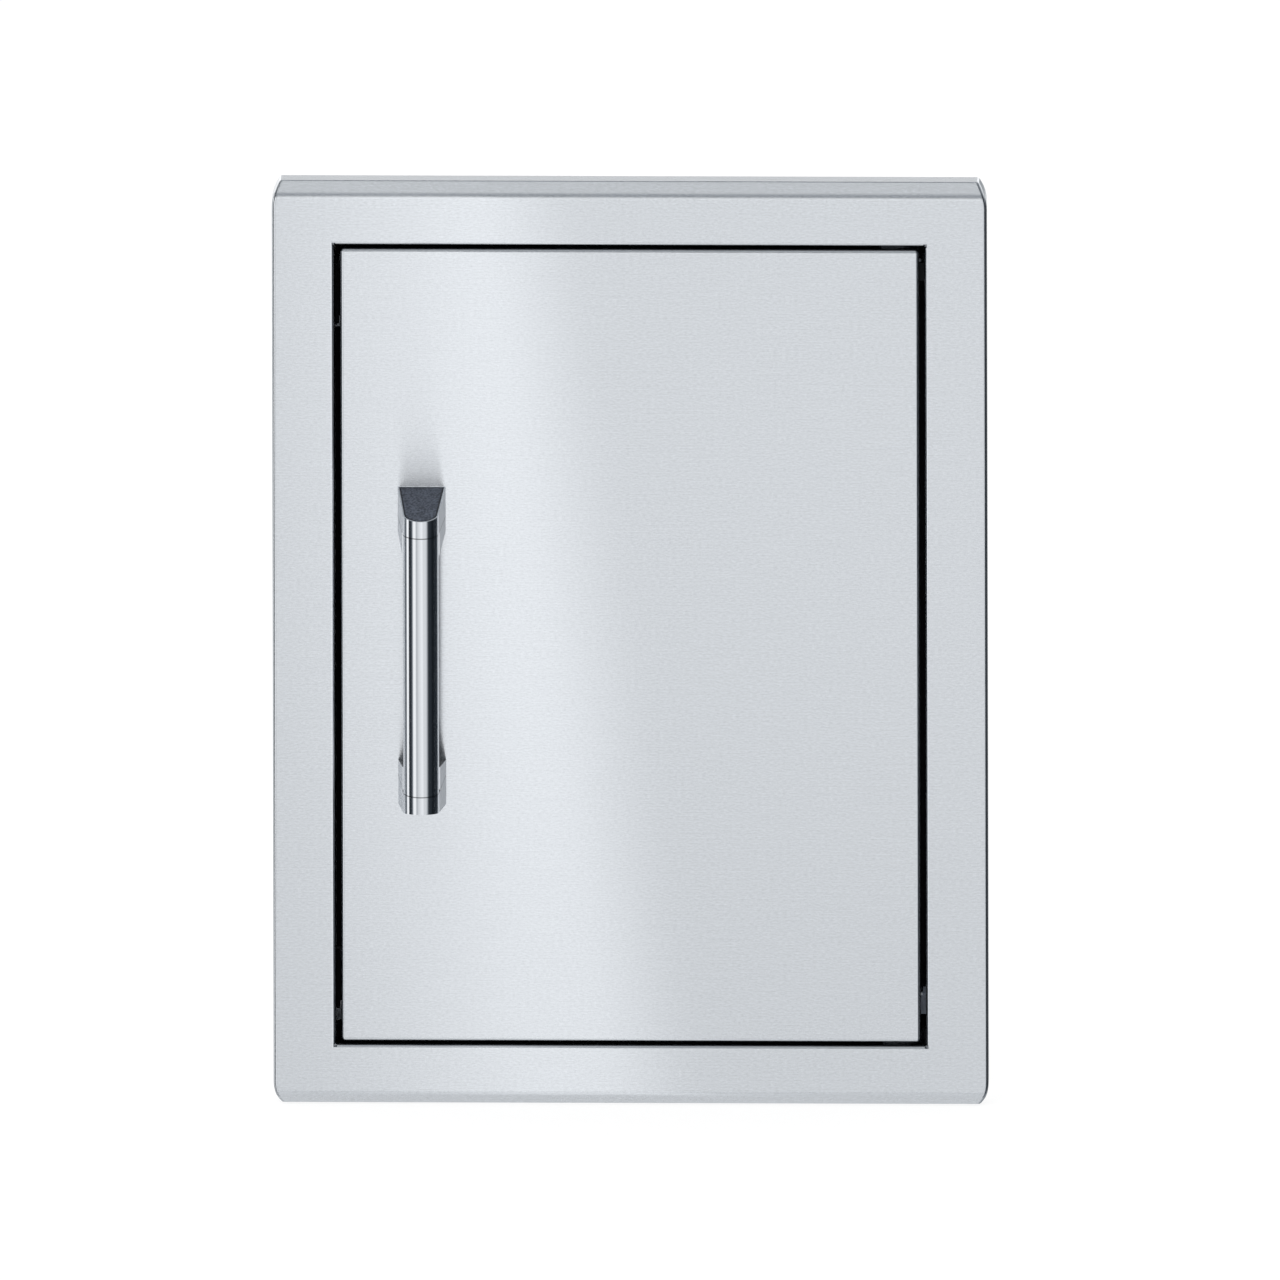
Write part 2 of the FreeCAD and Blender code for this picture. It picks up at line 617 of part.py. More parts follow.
def hinge_pin(side):
    middle = side * HINGE_Z
    foot = middle - EAR_OUTER - PIN_TAIL
    pin = rod((PIVOT_X, PIVOT_Y, foot), (0, 0, 1), PIN_DIAMETER, 2 * EAR_OUTER + PIN_TAIL)
    tip = edges_of(pin, lambda box: close(box.ZMax, foot))
    pin = pin.makeChamfer(PIN_TIP, tip)
    head = rod((PIVOT_X, PIVOT_Y, middle + EAR_OUTER), (0, 0, 1), PIN_HEAD, PIN_HEAD_HEIGHT)
    groove = ring((PIVOT_X, PIVOT_Y, clip_level(side)), (0, 0, 1), PIN_HEAD,
                  PIN_DIAMETER - 2 * PIN_GROOVE_DEPTH, CLIP_THICKNESS)
    return pin.fuse(head).cut(groove).removeSplitter()


def hinge_clips():
    """Open spring clips snapped in the grooves of the two pins."""
    clips = []
    for side in (1, -1):
        level = clip_level(side)
        inner = PIN_DIAMETER - 2 * PIN_GROOVE_DEPTH + 2 * PIN_SEAT_CLEARANCE
        clip = ring((PIVOT_X, PIVOT_Y, level), (0, 0, 1), CLIP_WIDTH, inner, CLIP_THICKNESS)
        half = inner * CLIP_MOUTH_SHARE / 2
        mouth = block((PIVOT_X - half, PIVOT_X + half), (PIVOT_Y, PIVOT_Y - CLIP_WIDTH),
                      (level, level + CLIP_THICKNESS))
        clips.append(clip.cut(mouth))
    return group(clips)


def thrust_washers():
    """Slippery washers between the strap's knuckle and the ears."""
    washers = []
    for side in (1, -1):
        for hand in (1, -1):
            level = side * HINGE_Z + hand * EAR_INNER
            washers.append(ring((PIVOT_X, PIVOT_Y, level), (0, 0, -hand), THRUST_WASHER,
                                PIN_DIAMETER + 2 * PIN_RUNNING_CLEARANCE, THRUST_WASHER_THICKNESS))
    return group(washers)


# Door

def notches(depth_from):
    """The cut at each hinge that lets the door turn past the strap."""
    return [block((NOTCH_LEFT, DOOR_X), (depth_from, DOOR_BACK),
                  (side * HINGE_Z - NOTCH_HALF, side * HINGE_Z + NOTCH_HALF)) for side in (1, -1)]


def pan_blank(half_width, half_height, levels, bent_level, bend):
    """A solid blank of a pan, with rounded corners and a bend all round one of its faces."""
    blank = block((-half_width, half_width), levels, (-half_height, half_height))
    blank = blank.makeFillet(bend, edges_of(blank, runs_along_y))
    return blank.makeFillet(bend, edges_of(blank, lambda box: close(box.YMin, bent_level)
                                           and close(box.YMax, bent_level)))


def door_skin():
    """The brushed outer pan, with its four sides folded back."""
    outside = pan_blank(DOOR_X, DOOR_Z, (FACE_Y, DOOR_BACK), FACE_Y, SKIN_BEND)
    inside = pan_blank(DOOR_X - SKIN_SHEET, DOOR_Z - SKIN_SHEET, (SKIN_INSIDE, DOOR_BACK), SKIN_INSIDE,
                       SKIN_BEND - SKIN_SHEET)
    skin = outside.cut(inside)
    start = PIVOT_Y + CLOSED_GAP
    skin = skin.cut(group(notches(start)))
    for side in (1, -1):
        hole = rod((HANDLE_X, FACE_Y, side * HANDLE_SCREW_Z), (0, 1, 0),
                   HANDLE_SCREW + 2 * SCREW_HOLE_CLEARANCE, SKIN_SHEET)
        skin = skin.cut(hole)
    return skin


def door_liner():
    """The inner pan that closes the door's back, with holes for the handle plugs and rivets."""
    front = DOOR_BACK - LINER_FLANGE
    wall = LINER_SHEET
    outside = pan_blank(LINER_X, LINER_Z, (front, DOOR_BACK), DOOR_BACK, SKIN_BEND)
    inside = pan_blank(LINER_X - wall, LINER_Z - wall, (front, DOOR_BACK - wall), DOOR_BACK - wall,
                       SKIN_BEND - wall)
    liner = outside.cut(inside).cut(group(notches(front)))
    for side in (1, -1):
        plug = rod((HANDLE_X, front, side * HANDLE_SCREW_Z), (0, 1, 0), PLUG_HOLE, LINER_FLANGE)
        liner = liner.cut(plug)
    rivet = RIVET_DIAMETER + 2 * RIVET_CLEARANCE
    return liner.cut(group(rod((x, front, z), (0, 1, 0), rivet, LINER_FLANGE) for x, z in rivet_points()))


def door_stiffener():
    """A channel behind the handle, welded to the skin, that spreads the pull of its screws."""
    half = STIFFENER_WIDTH / 2
    reach = DOOR_Z - STIFFENER_END_GAP
    levels = (-reach, reach)
    back = DOOR_BACK - LINER_SHEET
    web = block((HANDLE_X - half, HANDLE_X + half), (SKIN_INSIDE, SKIN_INSIDE + STIFFENER_SHEET), levels)
    legs = [block((HANDLE_X + hand * half, HANDLE_X + hand * (half - STIFFENER_SHEET)),
                  (SKIN_INSIDE, back), levels) for hand in (1, -1)]
    channel = merge([web] + legs)
    for side in (1, -1):
        hole = rod((HANDLE_X, SKIN_INSIDE, side * HANDLE_SCREW_Z), (0, 1, 0),
                   HANDLE_SCREW + 2 * SCREW_HOLE_CLEARANCE, STIFFENER_SHEET)
        channel = channel.cut(hole)
    return channel


def strike_plate(side):
    """The plain steel plate on the liner that the magnet pulls."""
    middle = side * CATCH_Z
    plate = block((MAGNET_X - STRIKE_WIDTH / 2, MAGNET_X + STRIKE_WIDTH / 2),
                  (DOOR_BACK, DOOR_BACK + STRIKE_SHEET),
                  (middle - STRIKE_HEIGHT / 2, middle + STRIKE_HEIGHT / 2))
    plate = plate.makeFillet(STRIKE_CORNER, edges_of(plate, runs_along_y))
    rivet = RIVET_DIAMETER + 2 * RIVET_CLEARANCE
    for x, z in rivet_points():
        plate = plate.cut(rod((x, DOOR_BACK, z), (0, 1, 0), rivet, STRIKE_SHEET))
    return plate


def rivet_points():
    return [(MAGNET_X, side * CATCH_Z + offset * RIVET_SPACING / 2)
            for side in (1, -1) for offset in (1, -1)]


def strike_rivets():
    """Blind rivets: the head outside the strike, the set end inside the liner."""
    inside = DOOR_BACK - LINER_SHEET
    outside = DOOR_BACK + STRIKE_SHEET
    rivets = []
    for x, z in rivet_points():
        head = rod((x, outside, z), (0, 1, 0), RIVET_HEAD, RIVET_HEAD_HEIGHT)
        rim = edges_of(head, lambda box: close(box.YMin, outside + RIVET_HEAD_HEIGHT))
        head = head.makeFillet(RIVET_HEAD_HEIGHT * LOW_HEAD_ROUNDING, rim)
        body = rod((x, inside, z), (0, 1, 0), RIVET_DIAMETER, outside - inside)
        tail = rod((x, inside, z), (0, -1, 0), RIVET_DIAMETER * RIVET_TAIL_SPREAD, RIVET_TAIL)
        rivets.append(merge([head, body, tail]))
    return group(rivets)


# Handle

def post_outline():
    """The post seen from above: a straight foot on the door, sides that run tangent to the tube."""
    foot_x = POST_WIDTH / 2
    depth = FACE_Y - TUBE_Y
    reach = math.hypot(foot_x, depth)
    towards = math.atan2(depth, foot_x)
    turn = math.acos(TUBE_RADIUS / reach)
    angle = towards - turn
    touch_x = TUBE_RADIUS * math.cos(angle)
    touch_y = TUBE_RADIUS * math.sin(angle)
    right_foot = vector(HANDLE_X + foot_x, FACE_Y, 0)
    left_foot = vector(HANDLE_X - foot_x, FACE_Y, 0)
    right_touch = vector(HANDLE_X + touch_x, TUBE_Y + touch_y, 0)
    left_touch = vector(HANDLE_X - touch_x, TUBE_Y + touch_y, 0)
    nose = vector(HANDLE_X, TUBE_Y - TUBE_RADIUS, 0)
    return Part.Wire([Part.LineSegment(left_foot, right_foot).toShape(),
                      Part.LineSegment(right_foot, right_touch).toShape(),
                      Part.Arc(right_touch, nose, left_touch).toShape(),
                      Part.LineSegment(left_touch, left_foot).toShape()])


def leaning_slab(top, bottom):
    """A thick slice between two parallel planes that lean towards the handle's middle."""
    near = FACE_Y + 1
    far = FACE_Y - HANDLE_REACH - 1
    half = POST_WIDTH

    def level(height, y):
        return height - (FACE_Y - y) * LEAN

    outline = [(HANDLE_X - half, near, level(top, near)), (HANDLE_X - half, far, level(top, far)),
               (HANDLE_X - half, far, level(bottom, far)), (HANDLE_X - half, near, level(bottom, near))]
    return prism(outline, (2 * half, 0, 0))


def post_column(inset):
    """The post's outline, drawn in by the inset, as a tall column."""
    face = Part.Face(post_outline())
    if inset:
        face = face.makeOffset2D(-inset)
    face.translate(vector(0, 0, -HANDLE_LENGTH))
    return face.extrude(vector(0, 0, 2 * HANDLE_LENGTH))


def handle_post(side):
    top = HANDLE_LENGTH / 2
    seam = TUBE_LENGTH / 2
    post = post_column(0).common(leaning_slab(top, top - POST_HEIGHT))
    below = rod((HANDLE_X, TUBE_Y, 0), (0, 0, 1), TUBE_DIAMETER + 2 * NEST_CLEARANCE, seam)
    post = post.cut(below)
    front_of_saddle = block((HANDLE_X - POST_WIDTH, HANDLE_X + POST_WIDTH),
                            (FACE_Y - HANDLE_REACH - 1, TUBE_Y + SADDLE_BLUNT), (0, seam))
    post = post.cut(front_of_saddle)
    bore = TUBE_DIAMETER - 2 * TUBE_WALL - 2 * SPIGOT_CLEARANCE
    spigot = rod((HANDLE_X, TUBE_Y, seam - SPIGOT_LENGTH), (0, 0, 1), bore, SPIGOT_LENGTH)
    tip = edges_of(spigot, lambda box: close(box.ZMax, seam - SPIGOT_LENGTH))
    post = post.fuse(spigot.makeChamfer(SPIGOT_TIP, tip))
    pocket = post_column(RIM_WIDTH).common(leaning_slab(top + 1, top - INSERT_THICKNESS))
    post = post.cut(pocket)
    thread = rod((HANDLE_X, FACE_Y, HANDLE_SCREW_Z), (0, -1, 0), HANDLE_SCREW + 2 * THREAD_CLEARANCE,
                 HANDLE_SCREW_GRIP + 1)
    return mirror_in_height(post.cut(thread).removeSplitter(), side)


def end_insert(side):
    """The matt dark plate let into the post's outer end, inside a thin bright rim."""
    top = HANDLE_LENGTH / 2
    column = post_column(RIM_WIDTH + INSERT_CLEARANCE)
    return mirror_in_height(column.common(leaning_slab(top, top - INSERT_THICKNESS)), side)


def handle_tube():
    start = (HANDLE_X, TUBE_Y, -TUBE_LENGTH / 2)
    return ring(start, (0, 0, 1), TUBE_DIAMETER, TUBE_DIAMETER - 2 * TUBE_WALL, TUBE_LENGTH)


def handle_washers():
    seat = SKIN_INSIDE + STIFFENER_SHEET
    return group(ring((HANDLE_X, seat, side * HANDLE_SCREW_Z), (0, 1, 0), HANDLE_WASHER,
                      HANDLE_SCREW + 2 * SCREW_HOLE_CLEARANCE, HANDLE_WASHER_THICKNESS)
                 for side in (1, -1))


def hexagon(centre, across_flats, depth):
    """A six-sided recess along Y from the centre."""
    x, y, z = centre
    radius = across_flats / math.sqrt(3)
    turns = [math.tau * corner / 6 for corner in range(6)]
    corners = [(x + radius * math.cos(turn), y, z + radius * math.sin(turn)) for turn in turns]
    return prism(corners, (0, -depth, 0))


def handle_screws():
    """Socket-head screws from inside the door into the two posts."""
    seat = SKIN_INSIDE + STIFFENER_SHEET + HANDLE_WASHER_THICKNESS
    screws = []
    for side in (1, -1):
        z = side * HANDLE_SCREW_Z
        head = rod((HANDLE_X, seat, z), (0, 1, 0), HANDLE_SCREW_HEAD, HANDLE_SCREW_HEAD_HEIGHT)
        outer = seat + HANDLE_SCREW_HEAD_HEIGHT
        head = head.cut(hexagon((HANDLE_X, outer, z), HANDLE_SOCKET, HANDLE_SOCKET_DEPTH))
        shank = rod((HANDLE_X, seat, z), (0, -1, 0), HANDLE_SCREW, seat - FACE_Y + HANDLE_SCREW_GRIP)
        screws.append(head.fuse(shank).removeSplitter())
    return group(screws)


def liner_plugs():
    """Press-in plugs that close the liner's holes over the handle screws."""
    plugs = []
    for side in (1, -1):
        z = side * HANDLE_SCREW_Z
        head = rod((HANDLE_X, DOOR_BACK, z), (0, 1, 0), PLUG_HEAD, PLUG_HEAD_HEIGHT)
        rim = edges_of(head, lambda box: close(box.YMin, DOOR_BACK + PLUG_HEAD_HEIGHT))
        head = head.makeFillet(PLUG_HEAD_HEIGHT * LOW_HEAD_ROUNDING, rim)
        stem = PLUG_HOLE - 2 * NEST_CLEARANCE
        skirt = ring((HANDLE_X, DOOR_BACK, z), (0, -1, 0), stem, stem - 2 * PLUG_STEM_WALL, PLUG_STEM_LENGTH)
        plugs.append(head.fuse(skirt).removeSplitter())
    return group(plugs)


def main():
    os.makedirs("parts", exist_ok=True)
    save("face_frame", face_frame())
    save("top_stop", end_stop(1))
    save("bottom_stop", end_stop(-1))
    save("latch_stop", latch_stop())
    save("bumpers", bumpers())
    save("top_seal", end_seal(1))
    save("bottom_seal", end_seal(-1))
    save("latch_seal", latch_seal())
    save("hinge_seal", hinge_seal())
    save("catch_screws", catch_screws())
    save("hinge_strap_screws", strap_screws())
    save("hinge_pin_clips", hinge_clips())
    save("hinge_thrust_washers", thrust_washers())
    save("door_skin", door_skin())
    save("door_liner", door_liner())
    save("door_stiffener", door_stiffener())
    save("strike_rivets", strike_rivets())
    save("handle_tube", handle_tube())
    save("handle_washers", handle_washers())
    save("handle_screws", handle_screws())
    save("liner_plugs", liner_plugs())
    for name, side in UPPER_AND_LOWER.items():
        save(name + "_catch_housing", catch_housing(side))
        save(name + "_catch_magnet", catch_magnet(side))
        save(name + "_catch_pole_plates", pole_plates(side))
        save(name + "_hinge_strap", hinge_strap(side))
        save(name + "_hinge_nut_plate", hinge_nut_plate(side))
        save(name + "_hinge_bracket", hinge_bracket(side))
        save(name + "_hinge_pin", hinge_pin(side))
        save(name + "_strike_plate", strike_plate(side))
        save(name + "_handle_post", handle_post(side))
        save(name + "_handle_end_insert", end_insert(side))


main()
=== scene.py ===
import math

import bpy
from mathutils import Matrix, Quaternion, Vector


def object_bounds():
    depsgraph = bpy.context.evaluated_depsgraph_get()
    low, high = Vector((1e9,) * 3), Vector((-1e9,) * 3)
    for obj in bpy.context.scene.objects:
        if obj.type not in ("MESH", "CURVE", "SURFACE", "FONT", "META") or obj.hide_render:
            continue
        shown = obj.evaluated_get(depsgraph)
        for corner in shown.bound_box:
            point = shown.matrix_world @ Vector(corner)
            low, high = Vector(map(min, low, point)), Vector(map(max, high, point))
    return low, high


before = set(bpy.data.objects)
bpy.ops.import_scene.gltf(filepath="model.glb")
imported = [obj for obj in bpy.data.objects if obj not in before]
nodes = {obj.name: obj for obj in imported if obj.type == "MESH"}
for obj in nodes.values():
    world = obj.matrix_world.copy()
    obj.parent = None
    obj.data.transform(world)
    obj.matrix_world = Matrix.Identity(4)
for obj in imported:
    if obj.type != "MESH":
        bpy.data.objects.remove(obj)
cad_low, cad_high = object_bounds()


# Face frame. One sheet of stainless steel, brushed from side to side, cut and folded so that its
# face stands proud of the island, its two ends are bevelled and its jambs line the cut-out. The
# jambs are welded to each other at the corners, behind the little slits that let them be folded.

class Signal:
    """One output of a node. Arithmetic on it adds the Math nodes."""

    def __init__(self, finish, socket):
        self.finish = finish
        self.socket = socket

    def __add__(self, other):
        return self.finish.maths("ADD", self, other)

    def __sub__(self, other):
        return self.finish.maths("SUBTRACT", self, other)

    def __rsub__(self, other):
        return self.finish.maths("SUBTRACT", other, self)

    def __mul__(self, other):
        return self.finish.maths("MULTIPLY", self, other)

    def __pow__(self, other):
        return self.finish.maths("POWER", self, other)

    __radd__ = __add__


class Finish:
    """The node tree of one finish, and the ways to add to it."""

    def __init__(self, owner):
        owner.use_nodes = True
        self.tree = owner.node_tree
        self.tree.nodes.clear()

    def add(self, kind, settings, sockets, output=0):
        """Adds a node, makes its settings, then fills its sockets with values or links."""
        node = self.tree.nodes.new("ShaderNode" + kind)
        for name, value in settings.items():
            if name == "stops":
                ramp = node.color_ramp
                while len(ramp.elements) < len(value):
                    ramp.elements.new(1)
                for element, (place, level) in zip(ramp.elements, value):
                    element.position = place
                    element.color = (level, level, level, 1)
            else:
                setattr(node, name, value)
        for name, value in sockets.items():
            if isinstance(value, Signal):
                self.tree.links.new(value.socket, node.inputs[name])
            else:
                node.inputs[name].default_value = value
        return Signal(self, node.outputs[output]) if node.outputs else node

    def maths(self, operation, first, second=0.0):
        return self.add("Math", {"operation": operation}, {0: first, 1: second})

    def size(self, value):
        """A value without its sign."""
        return self.maths("ABSOLUTE", value)

    def larger(self, first, second):
        return self.maths("MAXIMUM", first, second)

    def over(self, value, limit):
        """1 where a value is over a limit, and 0 elsewhere."""
        return self.maths("GREATER_THAN", value, limit)

    def under(self, value, limit):
        """1 where a value is under a limit, and 0 elsewhere."""
        return self.maths("LESS_THAN", value, limit)

    def along(self, place, direction):
        """How far a place lies along a direction, in the direction's own length per metre."""
        return self.add("VectorMath", {"operation": "DOT_PRODUCT"},
                        {0: place, 1: direction}, "Value")

    def stretched(self, place, factors):
        return self.add("VectorMath", {"operation": "MULTIPLY"}, {0: place, 1: factors})

    def toned(self, colour, tone):
        """A colour times a tone that varies."""
        return self.add("VectorMath", {"operation": "SCALE"}, {0: colour, "Scale": tone})

    def place(self):
        """A point's place in the shared frame, in metres."""
        return self.add("TexCoord", {}, {}, "Object")

    def apart(self, vector):
        """The three parts of a vector."""
        node = self.add("SeparateXYZ", {}, {0: vector}, "X").socket.node
        return [Signal(self, node.outputs[axis]) for axis in "XYZ"]

    def ramp(self, value, stops):
        """Levels for values from 0 to 1. Each stop is a value and its level."""
        return self.add("ValToRGB", {"stops": stops}, {"Fac": value})

    def levels(self, value, low, high, stops):
        """Levels for values from low to high. Each stop is a value and its level."""
        span = high - low
        return self.ramp((value - low) * (1 / span),
                         [((place - low) / span, level) for place, level in stops])

    def noise(self, place, scale, detail=2.0, roughness=0.5):
        return self.add("TexNoise", {}, {"Vector": place, "Scale": scale, "Detail": detail,
                                         "Roughness": roughness})

    def blend(self, share, first, second):
        """A colour between two others."""
        factor, colour_a, colour_b, colour_out = 0, 6, 7, 2
        return self.add("Mix", {"data_type": "RGBA"},
                        {factor: share, colour_a: first, colour_b: second}, colour_out)

    def bump(self, height, depth):
        return self.add("Bump", {}, {"Height": height, "Distance": depth, "Strength": 1.0})

    def end(self, shader):
        self.add("OutputMaterial", {}, {"Surface": shader})


def lit(colour):
    """A colour with the full alpha that a colour socket wants."""
    return (*colour, 1.0)


OPENING_X, OPENING_Z = 0.2096, 0.2974  # from the middle of the frame to the opening's sides
FOLD = 0.0029  # how far the folds round the opening reach into the face
SLIT_LAP = 0.0007  # how far inside the opening's sides the slits begin
JAMB_CORE = 0.0005  # how deep in the jambs' sheet their plain backs begin
INSIDE_X, INSIDE_Z = 0.2526, 0.334  # how far from the frame's middle the face's back goes
LIP_BACK_Y = 0.0284  # just before the back of the rear lip


def shares(steel, place):
    """Where folded sheet departs from its brushed face: the share of painted shade, and the share
    of plain back.

    Painted shade is the dark colour put where shade falls: inside the gap round the door, on the
    edges of the slits and on the frame's right bend. Plain is every surface that faces the inside
    of the island."""
    x, y, z = steel.apart(place)
    wide = steel.size(x)
    high = steel.size(z)

    def by_depth(stops):
        return steel.levels(y, -0.025, 0.025, stops)

    gap = steel.under(wide, OPENING_X + FOLD) * steel.under(high, OPENING_Z + FOLD)
    # Painted shade inside the gap, on the slits' edges and on the frame's right bend.
    gap_shade = by_depth([(-0.0207, 0.0), (-0.0198, 0.78), (-0.0100, 0.78), (0.0060, 0.35)])
    slit = steel.over(wide, OPENING_X - SLIT_LAP) * steel.over(high, OPENING_Z - SLIT_LAP)
    slit_shade = slit * by_depth([(-0.02085, 0.0), (-0.02075, 1.0), (-0.0175, 1.0), (-0.0170, 0.0)])
    right_bend = steel.levels(x, 0.2, 0.3, [(0.2524, 0.0), (0.2534, 0.75)])
    near_face = by_depth([(-0.0190, 1.0), (-0.0170, 0.0)])
    painted_shade = steel.larger(gap * steel.larger(gap_shade, slit_shade), right_bend * near_face)
    beside = steel.larger(steel.over(wide, OPENING_X + JAMB_CORE),
                          steel.over(high, OPENING_Z + JAMB_CORE))
    within = steel.under(wide, INSIDE_X) * steel.under(high, INSIDE_Z)
    behind = beside * within * by_depth([(-0.0193, 0.0), (-0.0192, 1.0)])
    plain = steel.larger(behind, steel.over(y, LIP_BACK_Y))
    return painted_shade * (1.0 - plain), plain


STEEL = (0.78, 0.805, 0.835)
# Colour of the painted shade in the gap round the door, on the slits' edges and on the right bend.
SHADE_COLOUR = (0.010, 0.016, 0.032)
SHEEN = 0.218
GRAIN_HEIGHT = 0.0011
STROKES = ((0.003, 0.75), (0.04, 0.25))  # length in metres, and share of the grain
BRUSHED_DEPTH = 0.00002


def brushed_steel(name):
    """Steel brushed along X, in short and long strokes that each have a length and a share. The
    anisotropy smears what it mirrors up and down, and the tangent leans as the bright band does."""
    material = bpy.data.materials.new(name)
    steel = Finish(material)
    place = steel.place()
    across = steel.along(place, (0, 0.2 / GRAIN_HEIGHT, 1 / GRAIN_HEIGHT))
    strokes = 0.0
    for length, share in STROKES:
        run = steel.along(place, (1 / length, 2 / length, 0))
        marks = steel.noise(steel.add("CombineXYZ", {}, {"X": run, "Y": across}), 1.0, 3.0, 0.62)
        strokes = marks * share + strokes
    handling = steel.noise(place, 7.0)
    tone = 0.735 + strokes * 0.49 + handling * 0.04
    painted_shade, plain = shares(steel, place)
    # The brushed steel is blended towards the painted shade.
    base = steel.blend(painted_shade, steel.toned(STEEL, tone), lit(SHADE_COLOUR))
    roughness = SHEEN - 0.04 + strokes * 0.05 + handling * 0.03 + plain * 0.25
    lean = steel.add("CombineXYZ", {}, {"X": -0.11, "Y": 0.3, "Z": 1.0})
    steel.end(steel.add("BsdfPrincipled", {}, {
        "Base Color": base, "Metallic": 1.0 - plain * 0.5, "Roughness": roughness,
        "Anisotropic": 1.0, "Tangent": lean, "Normal": steel.bump(strokes, BRUSHED_DEPTH)}))
    return material


def finish_with(material, *names):
    """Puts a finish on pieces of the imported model."""
    for name in names:
        for slot in nodes[name].material_slots:
            slot.material = material


finish_with(brushed_steel("brushed_face_steel"), "face_frame")


# Stops and bumpers. Angles of the same steel, left as it comes from the mill, spot welded inside
# the jambs. Soft clear buttons are stuck on them, and the closed door rests against the buttons.

ROLLING = (900, 900, 30)
ROLLED_DEPTH = 0.00001


def mill_steel(name, colour, sheen):
    """Unbrushed steel: an even, slightly cloudy skin with the faint marks of rolling."""
    material = bpy.data.materials.new(name)
    steel = Finish(material)
    place = steel.place()
    cloud = steel.noise(place, 24.0, 4.0, 0.6)
    rolling = steel.noise(steel.stretched(place, ROLLING), 1.0)
    steel.end(steel.add("BsdfPrincipled", {}, {
        "Base Color": steel.toned(colour, 0.88 + cloud * 0.16 + rolling * 0.06),
        "Metallic": 0.6, "Roughness": sheen + cloud * 0.12,
        "Normal": steel.bump(rolling, ROLLED_DEPTH)}))
    return material


plain_steel = mill_steel("mill_finish_steel", (0.56, 0.57, 0.58), 0.34)
finish_with(plain_steel, "top_stop", "bottom_stop", "latch_stop")

SPOTS = [(0.38, 0.0), (0.62, 1.0)]


def moulded(name, colour, shine, grain, depth, through=0.0, gleam=0.5):
    """Moulded rubber or plastic with a fine grain from its tool. Grain and depth are in metres."""
    material = bpy.data.materials.new(name)
    plastic = Finish(material)
    place = plastic.place()
    specks = plastic.noise(place, 1 / grain, 2.0, 0.6)
    cloud = plastic.noise(place, 60.0)
    tone = 0.90 + plastic.ramp(specks, SPOTS) * 0.1 + cloud * 0.1
    plastic.end(plastic.add("BsdfPrincipled", {}, {
        "Base Color": plastic.toned(colour, tone), "Roughness": shine + specks * 0.1,
        "Transmission Weight": through, "Specular IOR Level": gleam,
        "Normal": plastic.bump(specks, depth)}))
    return material


clear_rubber = moulded("clear_rubber", (0.62, 0.64, 0.64), 0.25, 0.0008, 0.00001, through=0.35)
finish_with(clear_rubber, "bumpers")


# Seals. Strips of black closed-cell foam with a sticky back, along the stops and, on the hinge
# side, along the jamb's rear lip. They keep light and dust from coming through the gap.

foam = moulded("black_foam", (0.005, 0.005, 0.006), 0.85, 0.0006, 0.00008, gleam=0.1)
finish_with(foam, "top_seal", "bottom_seal", "latch_seal", "hinge_seal")


# Magnetic catches. Each is a black nylon housing screwed to the latch-side jamb, with a block of
# ferrite in it. On each side of the block a steel plate, zinc plated and blackened, reaches for
# the door.

nylon = moulded("black_nylon", (0.006, 0.006, 0.007), 0.6, 0.0005, 0.00002, gleam=0.1)
finish_with(nylon, "upper_catch_housing", "lower_catch_housing")
ferrite = moulded("fired_ferrite", (0.012, 0.012, 0.014), 0.7, 0.0003, 0.00003, gleam=0.2)
finish_with(ferrite, "upper_catch_magnet", "lower_catch_magnet")

PLATED_DEPTH = 0.00001


def plated_steel(name, colour, sheen):
    """Plating: bright, with a soft spangle."""
    material = bpy.data.materials.new(name)
    plate = Finish(material)
    spangle = plate.noise(plate.place(), 700.0, 3.0, 0.6)
    plate.end(plate.add("BsdfPrincipled", {}, {
        "Base Color": plate.toned(colour, 0.84 + spangle * 0.26), "Metallic": 1.0,
        "Roughness": sheen + spangle * 0.2, "Normal": plate.bump(spangle, PLATED_DEPTH)}))
    return material


zinc_plate = plated_steel("zinc_plating", (0.66, 0.68, 0.71), 0.2)
finish_with(zinc_plate, "catch_screws")
black_steel = plated_steel("blackened_steel", (0.045, 0.047, 0.052), 0.35)
finish_with(black_steel, "upper_catch_pole_plates", "lower_catch_pole_plates")


# Hinge, fixed half. A strap of thick stainless steel is rolled into a knuckle at one end and held
# to the jamb by two screws that turn into a tapped plate behind it. The upper strap is painted
# nearly black as the shade it lies in, and the lower one, which shows in the gap, is steel painted
# a darker, bluer grey as the gap's shade.

hinge_steel = mill_steel("tumbled_steel", (0.63, 0.64, 0.655), 0.26)
finish_with(hinge_steel, "upper_hinge_nut_plate", "lower_hinge_nut_plate")
# The upper strap's colour is painted shade, nearly black.
finish_with(mill_steel("strap_steel_painted_shade", (0.035, 0.037, 0.042), 0.5), "upper_hinge_strap")
# The lower strap's colour is its steel, darkened and blued as painted shade of the gap.
finish_with(mill_steel("strap_steel_gap_shade", (0.40, 0.44, 0.51), 0.5), "lower_hinge_strap")
finish_with(zinc_plate, "hinge_strap_screws")


# Door. A brushed outer skin and an inner liner, two pans that nest back to back, with a channel
# welded inside behind the handle. The liner carries a riveted steel plate for each magnet.

finish_with(brushed_steel("brushed_door_steel"), "door_skin")
finish_with(plain_steel, "door_liner", "door_stiffener")
finish_with(zinc_plate, "upper_strike_plate", "lower_strike_plate")
finish_with(plated_steel("soft_aluminium", (0.72, 0.73, 0.74), 0.3), "strike_rivets")


# Handle. A polished tube between two cast and polished posts. Each post is shaped like a saddle at
# the door, and its outer end is let in with a dark, finely textured plate. Screws from inside the
# door hold the posts, and grey plugs close the holes they went in by.

